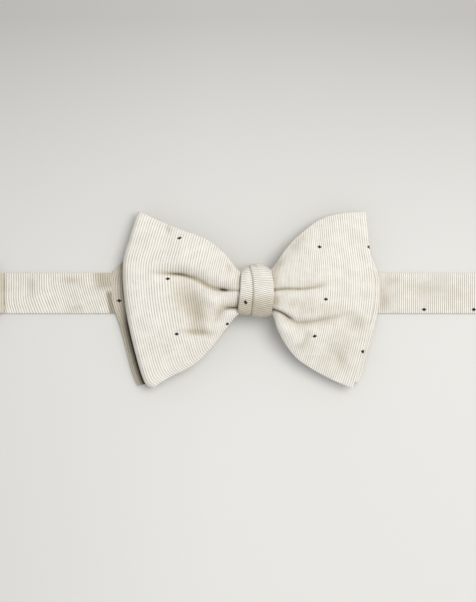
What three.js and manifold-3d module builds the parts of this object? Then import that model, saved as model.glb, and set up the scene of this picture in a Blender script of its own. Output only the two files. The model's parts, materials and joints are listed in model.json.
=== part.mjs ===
// A self-tie butterfly bow tie, tied by hand and laid flat with its neckband stretched out.
// Millimetres. X runs along the neckband, Y across it, Z up from the table at Z = 0.
// The origin is on the table, under the middle of the knot.
import * as THREE from 'three';
import { mergeVertices } from 'three/addons/utils/BufferGeometryUtils.js';
import Module from 'manifold-3d';

const wasm = await Module();
wasm.setup();

// Cloth: a lined tube is a face cloth, an interlining and a backing cloth.
const FACE = 0.4;
const INTERLINING = 0.5;
const BACKING = 0.4;
const LAYER_GAP = 0.1;
const CLEAR = 0.3;
const TUBE = FACE + INTERLINING + BACKING + 2 * LAYER_GAP;

// Neckband
const BAND_WIDTH = 19.1;
const BAND_SHIFT_Y = -1.0;
const LEFT_BAND_END = 119.5;
const RIGHT_BAND_END = 176;

// Knot: a wrap of cloth that goes round the waist of both bows.
const KNOT_WIDTH = 16;
const KNOT_HEIGHT = 24;
const KNOT_TOP = 18.2;
const KNOT_CORNER = 5;
const FRONT_BELOW_WRAP = 3.85;
const FRONT_WAIST = 17.2;
const REAR_WAIST = 14.2;

// Wings: how far each reaches from the middle, and its corners above and below the middle.
const WINGS = {
  frontLeft: { side: -1, span: 62.2, topX: 55.2, topY: 37.2, bottomX: 50.2, bottomY: 45.6, waist: FRONT_WAIST },
  frontRight: { side: 1, span: 55.8, topX: 51.8, topY: 37.2, bottomX: 45.7, bottomY: 45.6, waist: FRONT_WAIST },
  rearLeft: { side: -1, span: 67.6, topX: 52.0, topY: 30.0, bottomX: 55.0, bottomY: 44.6, waist: REAR_WAIST },
  rearRight: { side: 1, span: 58.4, topX: 47.0, topY: 31.0, bottomX: 48.6, bottomY: 43.0, waist: REAR_WAIST },
};
const FRONT_PUFF = 3.5;
const FRONT_LOOP_OUTER_Z = 10.4;
const FRONT_TIP_OUTER_Z = 8.6;
const REAR_LOOP_OPENING = 3.2;
const REAR_LIFT = 0.4;

// Adjuster on the left band, hook at the strap's end, eye at the right band's end.
const STRAP = 0.9;
const STRAP_GAP = 0.2;
const BAR = 2;
const BAR_THICK = 1.4;
const SLOT = 4.5;
const PLATE_CORNER = 1.6;
const ADJUSTER_CENTRE = 129;
const HOOK_BAR = 216.5;
const EYE_BAR = 190;
const SIDE_BAR = 2;
const LOOP_CORNER = 0.9;
const PIN = 1.4;
const PLATE_SLOT = 3.8;
const CROSS_BAR = 3.2;
const TONGUE_WIDTH = 8;
const TONGUE_REACH = 7;
const TONGUE_THROAT = 1.3;
const TONGUE_ROOT = 1;
const TONGUE_POINT = 0.5;
const RESTING_GAP = 0.05;
const RECEIVER = 6;
const RECEIVER_SPARE = 4;
const TACK_LENGTH = 14;
const TACK_WIDTH = 1.6;
const TACK_THICK = 0.35;
const EYE_TACK_INSET = 10.2;
const HOOK_TACK_INSET = 5.5;

// Worked out from the sizes above.
const bandLow = BAND_SHIFT_Y - BAND_WIDTH / 2;
const bandHigh = BAND_SHIFT_Y + BAND_WIDTH / 2;
const bandMid = TUBE / 2;
const crossedMid = bandMid + TUBE + CLEAR;
const wrapBottomMid = crossedMid + TUBE + CLEAR;
const rearLowMid = wrapBottomMid + TUBE + CLEAR;
const rearHighMid = rearLowMid + TUBE + CLEAR;
const frontLowMid = rearHighMid + TUBE + CLEAR;
const wrapTopMid = KNOT_TOP - TUBE / 2;
const frontHighMid = wrapTopMid - FRONT_BELOW_WRAP;
const rearOuterMid = TUBE + CLEAR + TUBE / 2 + REAR_LIFT;
const plateWidth = BAND_WIDTH + 2 * (CLEAR + SIDE_BAR);
const strapFoldR = PIN / 2 + STRAP_GAP + STRAP / 2;
const pinZ = STRAP + STRAP_GAP + PIN / 2;

const CREAM = 0xe6ddcb;
const SHADE = 0xd9cfbb;
const CANVAS = 0xd8d2c2;
const STEEL = 0xb9b6ae;
const THREAD = 0xe2d8c4;

const tie = new THREE.Group();

function addMesh(name, geometry, color, roughness, metalness) {
  geometry.computeVertexNormals();
  const material = new THREE.MeshStandardMaterial({ color, roughness, metalness });
  const mesh = new THREE.Mesh(geometry, material);
  mesh.name = name;
  tie.add(mesh);
  return mesh;
}

function smooth(t) {
  const c = THREE.MathUtils.clamp(t, 0, 1);
  return c * c * (3 - 2 * c);
}

// A closed sheet between two offsets of a grid of points: rows[i][j] is a THREE.Vector3.
function sheetFromGrid(rows, low, high) {
  const n = rows.length;
  const m = rows[0].length;
  const along = new THREE.Vector3();
  const across = new THREE.Vector3();
  const normal = new THREE.Vector3();
  const positions = [];
  for (const offset of [high, low]) {
    for (let i = 0; i < n; i += 1) {
      for (let j = 0; j < m; j += 1) {
        along.subVectors(rows[Math.min(i + 1, n - 1)][j], rows[Math.max(i - 1, 0)][j]);
        across.subVectors(rows[i][Math.min(j + 1, m - 1)], rows[i][Math.max(j - 1, 0)]);
        normal.crossVectors(along, across).normalize();
        const p = rows[i][j];
        positions.push(p.x + normal.x * offset, p.y + normal.y * offset, p.z + normal.z * offset);
      }
    }
  }
  const at = (layer, i, j) => layer * n * m + i * m + j;
  const index = [];
  const quad = (a, b, c, d) => index.push(a, b, c, a, c, d);
  for (let i = 0; i < n - 1; i += 1) {
    for (let j = 0; j < m - 1; j += 1) {
      quad(at(0, i, j), at(0, i + 1, j), at(0, i + 1, j + 1), at(0, i, j + 1));
      quad(at(1, i, j), at(1, i, j + 1), at(1, i + 1, j + 1), at(1, i + 1, j));
    }
    quad(at(0, i, 0), at(1, i, 0), at(1, i + 1, 0), at(0, i + 1, 0));
    quad(at(0, i, m - 1), at(0, i + 1, m - 1), at(1, i + 1, m - 1), at(1, i, m - 1));
  }
  for (let j = 0; j < m - 1; j += 1) {
    quad(at(0, 0, j), at(0, 0, j + 1), at(1, 0, j + 1), at(1, 0, j));
    quad(at(0, n - 1, j), at(1, n - 1, j), at(1, n - 1, j + 1), at(0, n - 1, j + 1));
  }
  const geometry = new THREE.BufferGeometry();
  geometry.setAttribute('position', new THREE.Float32BufferAttribute(positions, 3));
  geometry.setIndex(index);
  return geometry;
}

// The three layers of a lined tube. The face cloth is on the side the grid's normals point to.
function addTube(name, rows) {
  const faceLow = INTERLINING / 2 + LAYER_GAP;
  const backHigh = -INTERLINING / 2 - LAYER_GAP;
  const face = sheetFromGrid(rows, faceLow, faceLow + FACE);
  const inner = sheetFromGrid(rows, -INTERLINING / 2, INTERLINING / 2);
  const back = sheetFromGrid(rows, backHigh - BACKING, backHigh);
  addMesh(`${name}_face`, face, CREAM, 0.6, 0);
  addMesh(`${name}_interlining`, inner, CANVAS, 0.9, 0);
  addMesh(`${name}_backing`, back, SHADE, 0.6, 0);
}

// One edge of a wing, from the knot to the outer corner, as a cubic curve.
const EDGE_HANDLES = { firstX: 0.17, firstY: 0.37, secondX: 0.45, secondY: 0.68 };

function wingEdge(cornerX, cornerY, waist) {
  const x0 = KNOT_WIDTH / 2;
  const y0 = waist / 2;
  const length = cornerX - x0;
  const rise = cornerY - y0;
  const h = EDGE_HANDLES;
  return new THREE.CubicBezierCurve(
    new THREE.Vector2(x0, y0),
    new THREE.Vector2(x0 + h.firstX * length, y0 + h.firstY * rise),
    new THREE.Vector2(x0 + h.secondX * length, y0 + h.secondY * rise),
    new THREE.Vector2(cornerX, cornerY),
  );
}

const WING_STEPS = 8;
const WING_COLUMNS = 6;
const TUCK = 0.6;
const BULGE_POWER = 1.5;
const PUFF_POWER = 0.8;
const SETTLED_AT = 0.7;

// Points of one ply of a wing, from inside the knot to its outer edge.
function wingRows(wing, heightAt) {
  const top = wingEdge(wing.topX, wing.topY, wing.waist);
  const bottom = wingEdge(wing.bottomX, wing.bottomY, wing.waist);
  const chord = (wing.topX + wing.bottomX) / 2;
  const bulge = wing.span - chord;
  const rows = [];
  for (let i = -1; i <= WING_STEPS; i += 1) {
    const u = Math.max(i, 0) / WING_STEPS;
    const t = top.getPoint(u);
    const b = bottom.getPoint(u);
    const row = [];
    for (let j = 0; j <= WING_COLUMNS; j += 1) {
      const v = j / WING_COLUMNS;
      const round = 4 * v * (1 - v);
      const x = i < 0 ? TUCK : THREE.MathUtils.lerp(b.x, t.x, v) + bulge * round * u ** BULGE_POWER;
      const y = THREE.MathUtils.lerp(-b.y, t.y, v);
      row.push(new THREE.Vector3(wing.side * x, y, heightAt(u, round)));
    }
    rows.push(row);
  }
  return rows;
}

// Height of a ply that leaves the knot at one height and reaches another at its outer edge.
function plyHeight(knotZ, outerZ, puff) {
  return (u, round) => {
    const settle = smooth(u / SETTLED_AT);
    const swell = puff * round * Math.sin(Math.PI * u ** PUFF_POWER);
    return THREE.MathUtils.lerp(knotZ, outerZ, settle) + swell;
  };
}

const FOLD_STEPS = 5;

// Two plies joined by a rounded fold at the outer edge, as one run of rows.
function loopRows(wing, lowHeight, highHeight) {
  const low = wingRows(wing, lowHeight);
  const high = wingRows(wing, highHeight);
  const lowEdge = low[low.length - 1];
  const highEdge = high[high.length - 1];
  const fold = [];
  for (let k = 1; k < FOLD_STEPS; k += 1) {
    const angle = (Math.PI * k) / FOLD_STEPS;
    fold.push(lowEdge.map((p, j) => {
      const q = highEdge[j];
      const radius = (q.z - p.z) / 2;
      const middle = (q.z + p.z) / 2;
      const x = p.x + wing.side * radius * Math.sin(angle);
      return new THREE.Vector3(x, p.y, middle - radius * Math.cos(angle));
    }));
  }
  return [...low, ...fold, ...high.reverse()];
}

// Turns a run of rows over, so that the normals point the other way.
function mirrored(rows) {
  return rows.map((row) => [...row].reverse());
}

function frontLoop() {
  const foldR = (FRONT_LOOP_OUTER_Z - rearOuterMid - TUBE - CLEAR) / 2;
  const outerLow = FRONT_LOOP_OUTER_Z - 2 * foldR;
  const wing = { ...WINGS.frontLeft };
  for (const key of ['span', 'topX', 'bottomX']) wing[key] -= foldR + TUBE / 2;
  const low = plyHeight(frontLowMid, outerLow, 0);
  const high = plyHeight(frontHighMid, FRONT_LOOP_OUTER_Z, FRONT_PUFF);
  addTube('front_loop', loopRows(wing, low, high));
}

function frontTip() {
  const height = plyHeight(frontHighMid, FRONT_TIP_OUTER_Z, FRONT_PUFF);
  addTube('front_tip', wingRows(WINGS.frontRight, height));
}

function rearTip() {
  const height = plyHeight(rearLowMid, rearOuterMid, 0);
  addTube('rear_tip', mirrored(wingRows(WINGS.rearLeft, height)));
}

function rearLoop() {
  const foldR = REAR_LOOP_OPENING / 2;
  const wing = { ...WINGS.rearRight };
  for (const key of ['span', 'topX', 'bottomX']) wing[key] -= foldR + TUBE / 2;
  const low = plyHeight(rearLowMid, rearOuterMid, 0);
  const high = plyHeight(rearHighMid, rearOuterMid + REAR_LOOP_OPENING, 0);
  addTube('rear_loop', mirrored(loopRows(wing, low, high)));
}

// The wrap: a rounded ring round the waist, its ends lapped with a small gap behind the bow.
const WRAP_STEPS = 24;
const WRAP_CROWN = 1.2;

function knotWrap() {
  const halfY = KNOT_HEIGHT / 2 - TUBE / 2;
  const low = wrapBottomMid;
  const high = wrapTopMid - WRAP_CROWN;
  const r = KNOT_CORNER;
  const path = new THREE.Path();
  path.moveTo(-CLEAR, low);
  path.lineTo(-halfY + r, low);
  path.quadraticCurveTo(-halfY, low, -halfY, low + r);
  path.lineTo(-halfY, high - r);
  path.quadraticCurveTo(-halfY, high, -halfY + r, high);
  path.quadraticCurveTo(0, high + 2 * WRAP_CROWN, halfY - r, high);
  path.quadraticCurveTo(halfY, high, halfY, high - r);
  path.lineTo(halfY, low + r);
  path.quadraticCurveTo(halfY, low, halfY - r, low);
  path.lineTo(CLEAR, low);
  const points = path.getSpacedPoints(WRAP_STEPS);
  const xs = [-KNOT_WIDTH / 2, 0, KNOT_WIDTH / 2];
  const rows = xs.map((x) => points.map((p) => new THREE.Vector3(x, p.x, p.y)));
  addTube('knot_wrap', rows);
}

// A straight strip with a bent side view: points are [x, z] pairs along its middle.
function stripRows(points, low, high) {
  return points.map(([x, z]) => [low, (low + high) / 2, high].map((y) => new THREE.Vector3(x, y, z)));
}

function leftBand() {
  const points = [[-LEFT_BAND_END, bandMid], [-KNOT_WIDTH / 2, bandMid], [KNOT_WIDTH / 2, bandMid]];
  addTube('left_band', stripRows(points, bandLow, bandHigh));
}

function rightBand() {
  const points = [
    [-KNOT_WIDTH / 2, crossedMid],
    [KNOT_WIDTH / 2 + 2, crossedMid],
    [KNOT_WIDTH / 2 + 5, (crossedMid + bandMid) / 2],
    [KNOT_WIDTH / 2 + 8, bandMid],
    [RIGHT_BAND_END, bandMid],
  ];
  addTube('right_band', stripRows(points, bandLow, bandHigh));
}

// A smooth side-view path through [x, z] points.
function sidePath(points) {
  return new THREE.SplineCurve(points.map(([x, z]) => new THREE.Vector2(x, z)));
}

function strapRows(curve, steps, from = 0, to = 1, low = bandLow, high = bandHigh) {
  const rows = [];
  for (let i = 0; i <= steps; i += 1) {
    const p = curve.getPointAt(THREE.MathUtils.lerp(from, to, i / steps));
    rows.push([p.x, p.y]);
  }
  return stripRows(rows, low, high);
}

function addStrap(name, rows) {
  return addMesh(name, sheetFromGrid(rows, -STRAP / 2, STRAP / 2), CREAM, 0.6, 0);
}

// Turns a closed geometry into a solid and back, to join and cut the metal pieces.
function solid(geometry) {
  const bare = geometry.clone();
  bare.deleteAttribute('normal');
  bare.deleteAttribute('uv');
  const merged = mergeVertices(bare);
  const vertProperties = Float32Array.from(merged.attributes.position.array);
  const triVerts = Uint32Array.from(merged.index.array);
  return new wasm.Manifold(new wasm.Mesh({ numProp: 3, vertProperties, triVerts }));
}

function geometryOf(manifold) {
  const mesh = manifold.getMesh();
  const geometry = new THREE.BufferGeometry();
  geometry.setAttribute('position', new THREE.Float32BufferAttribute(mesh.vertProperties, 3));
  geometry.setIndex(Array.from(mesh.triVerts));
  return geometry;
}

// A flat metal plate of rounded outline, lying in X and Y and centred in Z.
function plate(x0, x1) {
  const shape = new THREE.Shape();
  const h = plateWidth / 2;
  const c = PLATE_CORNER;
  shape.moveTo(x0 + c, -h);
  shape.lineTo(x1 - c, -h);
  shape.quadraticCurveTo(x1, -h, x1, -h + c);
  shape.lineTo(x1, h - c);
  shape.quadraticCurveTo(x1, h, x1 - c, h);
  shape.lineTo(x0 + c, h);
  shape.quadraticCurveTo(x0, h, x0, h - c);
  shape.lineTo(x0, -h + c);
  shape.quadraticCurveTo(x0, -h, x0 + c, -h);
  const options = { depth: BAR_THICK, bevelEnabled: false, curveSegments: 4 };
  const geometry = new THREE.ExtrudeGeometry(shape, options);
  geometry.translate(0, 0, -BAR_THICK / 2);
  return solid(geometry);
}

// The solid that cuts a slot from x0 to x1 through a plate.
function slotCut(x0, x1, width) {
  const box = new THREE.BoxGeometry(x1 - x0, width, 2 * BAR_THICK);
  box.translate((x0 + x1) / 2, 0, 0);
  return solid(box);
}

const slotWidth = BAND_WIDTH + 2 * CLEAR;
const adjusterHalf = BAR / 2 + SLOT + BAR;
const tailMid = TUBE + CLEAR / 2 + STRAP / 2;
const footMid = tailMid + STRAP + STRAP_GAP;
const adjusterZ = footMid + STRAP / 2 + STRAP_GAP + BAR_THICK / 2;
const loopOffset = BAR_THICK / 2 + STRAP_GAP + STRAP / 2;
const humpZ = adjusterZ + loopOffset + STRAP + STRAP_GAP;

function adjuster() {
  let frame = plate(-adjusterHalf, adjusterHalf);
  frame = frame.subtract(slotCut(BAR / 2, BAR / 2 + SLOT, slotWidth));
  frame = frame.subtract(slotCut(-BAR / 2 - SLOT, -BAR / 2, slotWidth));
  const mesh = addMesh('adjuster_frame', geometryOf(frame), STEEL, 0.3, 1);
  mesh.position.set(-ADJUSTER_CENTRE, BAND_SHIFT_Y, adjusterZ);
}

// The strap where it comes up through the adjuster, over the centre bar and down again.
function strapOverAdjuster() {
  const side = [
    [adjusterHalf + 3.5, footMid],
    [adjusterHalf, footMid],
    [adjusterHalf - BAR, footMid + 0.05],
    [adjusterHalf - BAR - 1.4, footMid + 1.0],
    [BAR / 2 + SLOT / 2 + 0.5, adjusterZ],
    [BAR / 2 + SLOT / 2 + 0.1, adjusterZ + 1.2],
    [BAR / 2 + 0.8, humpZ - 0.15],
    [0, humpZ],
  ];
  const far = side.slice(0, -1).reverse().map(([x, z]) => [-x, z]);
  const points = [...side, ...far].map(([x, z]) => [x - ADJUSTER_CENTRE, z]).reverse();
  addStrap('strap_over_adjuster', strapRows(sidePath(points), 30));
}

// The strap's other end, sewn round the centre bar.
function strapLoop() {
  const halfBar = BAR / 2 + STRAP_GAP + STRAP / 2;
  const c = LOOP_CORNER;
  const curve = new THREE.Path();
  curve.moveTo(-halfBar, adjusterZ - 0.1);
  curve.lineTo(-halfBar, adjusterZ + loopOffset - c);
  curve.quadraticCurveTo(-halfBar, adjusterZ + loopOffset, -halfBar + c, adjusterZ + loopOffset);
  curve.lineTo(halfBar - c, adjusterZ + loopOffset);
  curve.quadraticCurveTo(halfBar, adjusterZ + loopOffset, halfBar, adjusterZ + loopOffset - c);
  curve.lineTo(halfBar, adjusterZ - loopOffset + c);
  curve.quadraticCurveTo(halfBar, adjusterZ - loopOffset, halfBar - c, adjusterZ - loopOffset);
  curve.lineTo(0, adjusterZ - loopOffset);
  curve.bezierCurveTo(-1.6, adjusterZ - loopOffset, -2.0, tailMid, -3.6, tailMid);
  curve.lineTo(-adjusterHalf - 1.5, tailMid);
  const points = curve.getSpacedPoints(36).map((p) => [p.x - ADJUSTER_CENTRE, p.y]);
  addStrap('strap_loop', stripRows(points.reverse(), bandLow, bandHigh));
}

function strapRuns() {
  const foot = -ADJUSTER_CENTRE - adjusterHalf;
  const pin = -HOOK_BAR;
  const upper = sidePath([
    [pin + 8.3, pinZ + strapFoldR],
    [pin + 12, pinZ + strapFoldR - 0.5],
    [pin + 20, STRAP * 1.5 + CLEAR],
    [foot - 20, STRAP * 1.5 + CLEAR],
    [foot - 10, footMid - 0.9],
    [foot - 3.8, footMid],
  ]);
  const lower = sidePath([
    [pin + 8.3, STRAP / 2],
    [foot - 24, STRAP / 2],
    [foot - 17, STRAP / 2 + 0.05],
    [foot - 10, STRAP / 2 + 0.4],
    [foot - 5, tailMid - 0.3],
    [foot - 1.8, tailMid],
  ]);
  addStrap('strap_upper_run', strapRows(upper, 24));
  addStrap('strap_lower_run', strapRows(lower, 20));
}

// A fold of strap round a pin: side is +1 when the pin lies towards +X.
function foldPoints(pinX, side, lead) {
  const points = [...lead];
  const turns = 8;
  for (let i = 0; i <= turns; i += 1) {
    const angle = Math.PI / 2 - (Math.PI * i) / turns;
    const x = pinX + side * strapFoldR * Math.cos(angle);
    points.push([x, pinZ + strapFoldR * Math.sin(angle)]);
  }
  return points;
}

function hookEndFold() {
  const lead = [[-HOOK_BAR + 8, pinZ + strapFoldR], [-HOOK_BAR + 4, pinZ + strapFoldR]];
  const points = foldPoints(-HOOK_BAR, -1, lead);
  points.push([-HOOK_BAR + 4, STRAP / 2], [-HOOK_BAR + 8, STRAP / 2]);
  addStrap('strap_end_fold', mirrored(stripRows(points, bandLow, bandHigh)));
}

function eyeEndFold() {
  const start = RIGHT_BAND_END + CLEAR;
  const top = pinZ + strapFoldR;
  const lead = [
    [start, TUBE - STRAP / 2 + 0.3],
    [start + 3, TUBE - STRAP / 2 + 1.0],
    [start + 6, top - 0.5],
    [start + 9, top - 0.1],
  ];
  const points = foldPoints(EYE_BAR, 1, lead);
  points.push([EYE_BAR - 6, STRAP / 2], [start + 2.4, STRAP / 2]);
  addStrap('eye_end_fold', stripRows(points, bandLow, bandHigh));
}

// A bar tack: a short dense bar of stitches that lies on the cloth.
function barTack(name, x, z) {
  const points = [[x - TACK_WIDTH / 2, z], [x, z], [x + TACK_WIDTH / 2, z]];
  const low = BAND_SHIFT_Y - TACK_LENGTH / 2;
  const rows = stripRows(points, low, low + TACK_LENGTH);
  addMesh(name, sheetFromGrid(rows, -TACK_THICK / 2, TACK_THICK / 2), THREAD, 0.7, 0);
}

function barTacks() {
  const gap = STRAP / 2 + LAYER_GAP + TACK_THICK / 2;
  barTack('eye_bar_tack', RIGHT_BAND_END + CLEAR + EYE_TACK_INSET, pinZ + strapFoldR + gap);
  barTack('hook_bar_tack', -HOOK_BAR + HOOK_TACK_INSET, pinZ + strapFoldR + gap);
}

// A metal end plate lies along +X from its pin. It droops a little, so that its end rests on the table.
function endPlate(name, metal, length, pinX, turn) {
  const pin = new THREE.CylinderGeometry(PIN / 2, PIN / 2, plateWidth - SIDE_BAR, 12);
  const reach = PIN / 2 + PLATE_SLOT;
  const whole = metal.subtract(slotCut(-reach, reach, slotWidth)).add(solid(pin));
  const mesh = addMesh(name, geometryOf(whole), STEEL, 0.3, 1);
  const droop = Math.asin((pinZ - BAR_THICK / 2 - RESTING_GAP) / length);
  mesh.rotation.set(0, droop, turn, 'ZYX');
  mesh.position.set(pinX, BAND_SHIFT_Y, pinZ);
}

function hook() {
  const tip = PIN / 2 + PLATE_SLOT + CROSS_BAR;
  const end = tip + TONGUE_REACH;
  const rise = BAR_THICK + TONGUE_THROAT;
  const half = BAR_THICK / 2;
  const bendX = end - rise / 2 - half;
  const quarter = Math.PI / 2;
  const side = new THREE.Shape();
  side.moveTo(tip - TONGUE_ROOT, -half);
  side.absarc(bendX, rise / 2, rise / 2 + half, -quarter, quarter, false);
  side.lineTo(tip - TONGUE_POINT, rise + half);
  side.lineTo(tip - TONGUE_POINT, rise - half);
  side.absarc(bendX, rise / 2, rise / 2 - half, quarter, -quarter, true);
  side.lineTo(tip - TONGUE_ROOT, half);
  const options = { depth: TONGUE_WIDTH, bevelEnabled: false, curveSegments: 8 };
  const tongue = new THREE.ExtrudeGeometry(side, options);
  tongue.rotateX(quarter);
  tongue.translate(0, TONGUE_WIDTH / 2, 0);
  const metal = plate(-PIN / 2, tip).add(solid(tongue));
  endPlate('hook', metal, end, -HOOK_BAR, Math.PI);
}

function eye() {
  const cross = PIN / 2 + PLATE_SLOT + BAR;
  const length = cross + RECEIVER + BAR;
  const metal = plate(-PIN / 2, length);
  const receiver = slotCut(cross, cross + RECEIVER, TONGUE_WIDTH + RECEIVER_SPARE);
  endPlate('eye', metal.subtract(receiver), length, EYE_BAR, 0);
}

leftBand();
rightBand();
rearTip();
rearLoop();
frontLoop();
frontTip();
knotWrap();
adjuster();
strapOverAdjuster();
strapLoop();
strapRuns();
hookEndFold();
eyeEndFold();
barTacks();
hook();
eye();

export default tie;
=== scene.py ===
import json
import math

import bpy
import numpy as np
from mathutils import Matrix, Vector

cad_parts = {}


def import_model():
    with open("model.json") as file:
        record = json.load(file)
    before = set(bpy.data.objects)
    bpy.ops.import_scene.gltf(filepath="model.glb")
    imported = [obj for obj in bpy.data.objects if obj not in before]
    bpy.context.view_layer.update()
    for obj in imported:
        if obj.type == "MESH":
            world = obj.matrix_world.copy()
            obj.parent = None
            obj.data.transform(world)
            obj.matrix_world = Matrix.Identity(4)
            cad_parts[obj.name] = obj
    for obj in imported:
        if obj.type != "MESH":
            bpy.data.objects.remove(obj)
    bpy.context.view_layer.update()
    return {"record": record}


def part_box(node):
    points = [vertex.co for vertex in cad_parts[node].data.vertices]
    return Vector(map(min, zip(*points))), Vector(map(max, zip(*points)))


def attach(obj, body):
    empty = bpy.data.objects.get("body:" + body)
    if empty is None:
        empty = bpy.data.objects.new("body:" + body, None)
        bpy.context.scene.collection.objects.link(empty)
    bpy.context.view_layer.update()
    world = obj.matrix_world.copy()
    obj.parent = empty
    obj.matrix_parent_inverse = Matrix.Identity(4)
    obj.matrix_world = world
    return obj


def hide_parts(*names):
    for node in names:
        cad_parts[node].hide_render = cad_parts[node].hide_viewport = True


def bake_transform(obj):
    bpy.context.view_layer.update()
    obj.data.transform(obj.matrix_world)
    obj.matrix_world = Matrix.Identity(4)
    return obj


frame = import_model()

MM = 0.001

# ---- driving sizes, from the frame


def box_mm(node):
    low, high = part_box(node)
    return np.array(low) / MM, np.array(high) / MM


def joint_mm(name):
    joint = next(j for j in frame["record"]["behaviour"]["joints"] if j["name"] == name)
    return np.array(joint["pos_m"]) / MM


BAND_LOW, BAND_HIGH = box_mm("left_band_face")
WRAP_LOW, WRAP_HIGH = box_mm("knot_wrap_face")
BAND_Y0, BAND_Y1 = BAND_LOW[1], BAND_HIGH[1]
BAND_MIDDLE = (BAND_Y0 + BAND_Y1) / 2
TUBE = BAND_HIGH[2]
HALF_TUBE = TUBE / 2
KNOT_TOP = WRAP_HIGH[2]
HOOK_PIN = joint_mm("hook_swing")
EYE_PIN = joint_mm("eye_swing")

# ---- curves and surfaces


def smooth(t):
    c = np.clip(t, 0.0, 1.0)
    return c * c * (3 - 2 * c)


def spline(points, count=200):
    """Evenly spaced points along a Catmull-Rom curve through given points."""
    p = np.array(points, float)
    ends = np.vstack([2 * p[0] - p[1], p, 2 * p[-1] - p[-2]])
    steps = np.linspace(0, 1, 24, endpoint=False)[:, None]
    run = []
    for a, b, c, d in zip(ends, ends[1:], ends[2:], ends[3:]):
        cubic = (3 * b - a - 3 * c + d) * steps**3 + (2 * a - 5 * b + 4 * c - d) * steps**2
        run.append(0.5 * (cubic + (c - a) * steps + 2 * b))
    run = np.vstack([*run, p[-1:]])
    length = np.concatenate([[0], np.cumsum(np.linalg.norm(np.diff(run, axis=0), axis=1))])
    at = np.linspace(0, length[-1], count)
    return np.stack([np.interp(at, length, run[:, k]) for k in range(p.shape[1])], axis=1)


def along(curve, t):
    where = np.linspace(0, 1, len(curve))
    return np.stack([np.interp(t, where, curve[:, k]) for k in range(curve.shape[1])], axis=-1)


def coons(bottom, top, inner, outer, us, vs):
    """A patch between four curves: bottom and top run outwards, inner and outer run upwards."""
    b, t = along(bottom, us)[:, None], along(top, us)[:, None]
    i, o = along(inner, vs)[None], along(outer, vs)[None]
    u, v = us[:, None, None], vs[None, :, None]
    flat = (1 - v) * b + v * t + (1 - u) * i + u * o
    corners = (1 - u) * ((1 - v) * bottom[0] + v * top[0]) + u * ((1 - v) * bottom[-1] + v * top[-1])
    return flat - corners


def edge_spaced(count, crowd):
    """Values from 0 to 1 that lie closer together at both ends."""
    t = np.linspace(0, 1, count)
    return (1 - crowd) * t + crowd * (0.5 - 0.5 * np.cos(math.pi * t))


def side_of(x, y, points):
    """Distance to a curve, positive on its left, and how far along it the nearest point lies."""
    curve = spline(points, 120)
    flat = np.stack([x.ravel(), y.ravel()], axis=1)
    delta = flat[:, None] - curve[None]
    nearest = np.argmin((delta**2).sum(axis=2), axis=1)
    tangent = np.gradient(curve, axis=0)[nearest]
    d = delta[np.arange(len(flat)), nearest]
    cross = tangent[:, 0] * d[:, 1] - tangent[:, 1] * d[:, 0]
    distance = np.hypot(d[:, 0], d[:, 1]) * np.sign(cross)
    return distance.reshape(x.shape), (nearest / (len(curve) - 1)).reshape(x.shape)


def fading(s, fade):
    """1 along a line, from 0 at each end over its share of the length."""
    return smooth(s / max(fade[0], 1e-3)) * smooth((1 - s) / max(fade[1], 1e-3))


def crease(x, y, points, left, right, fade):
    """A soft line of strength 1, with its own width on each side, that fades in and out."""
    d, s = side_of(x, y, points)
    width = np.where(d > 0, left, right)
    return fading(s, fade) * np.exp(-((d / width) ** 2))


def step(x, y, points, edge, reach, fade):
    """A step up to 1 on the left of a line, with a short edge, that settles over reach."""
    d, s = side_of(x, y, points)
    up = 0.5 + 0.5 * np.tanh(d / edge)
    return fading(s, fade) * up * np.exp(-np.clip(d, 0, None) / reach)


def mound(x, y, cx, cy, rx, ry, angle=0.0):
    """A soft bump of height 1 with its own radii, turned by an angle in degrees."""
    a = math.radians(angle)
    dx, dy = x - cx, y - cy
    p = (dx * math.cos(a) + dy * math.sin(a)) / rx
    q = (-dx * math.sin(a) + dy * math.cos(a)) / ry
    return np.exp(-(p**2 + q**2))


def mounds(x, y, forms):
    """Soft bumps added up, each given as height, x, y, two radii and a turn in degrees."""
    return sum(height * mound(x, y, *form) for height, *form in forms)


def creases(x, y, lines):
    """Soft lines added up, each given as height, points, widths to left and right, and fade."""
    return sum(height * crease(x, y, *line) for height, *line in lines)


def ripple(x, y, seed, size, height):
    """A gentle unevenness made of a few waves, the same on every run."""
    rng = np.random.default_rng(seed)
    total = np.zeros_like(x)
    for _ in range(7):
        angle = rng.uniform(0, 2 * math.pi)
        wave = rng.uniform(0.7, 1.5) * 2 * math.pi / size
        total += np.sin(wave * (x * math.cos(angle) + y * math.sin(angle)) + rng.uniform(0, 6.28))
    return height * total / 3


# ---- meshes


def grid_normals(points):
    along_rows = np.gradient(points, axis=0)
    along_columns = np.gradient(points, axis=1)
    n = np.cross(along_rows, along_columns)
    return n / np.maximum(np.linalg.norm(n, axis=2, keepdims=True), 1e-9)


def mesh_piece(name, verts_mm, faces, cloth=None):
    """A smooth-shaded object; cloth holds, for each vertex, its distance along and across
    the strip in mm and the tan painted on the silk there, mostly painted shade, for the weave to read."""
    mesh = bpy.data.meshes.new(name)
    mesh.from_pydata((np.asarray(verts_mm) * MM).tolist(), [], faces)
    if cloth is not None:
        values = np.asarray(cloth, np.float32).ravel()
        mesh.attributes.new("cloth_mm", "FLOAT_VECTOR", "POINT").data.foreach_set("vector", values)
    mesh.polygons.foreach_set("use_smooth", np.ones(len(mesh.polygons), bool))
    mesh.update()
    piece = bpy.data.objects.new(name, mesh)
    bpy.context.scene.collection.objects.link(piece)
    return piece


def dressed(piece, material):
    piece.data.materials.append(material)
    return piece


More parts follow.
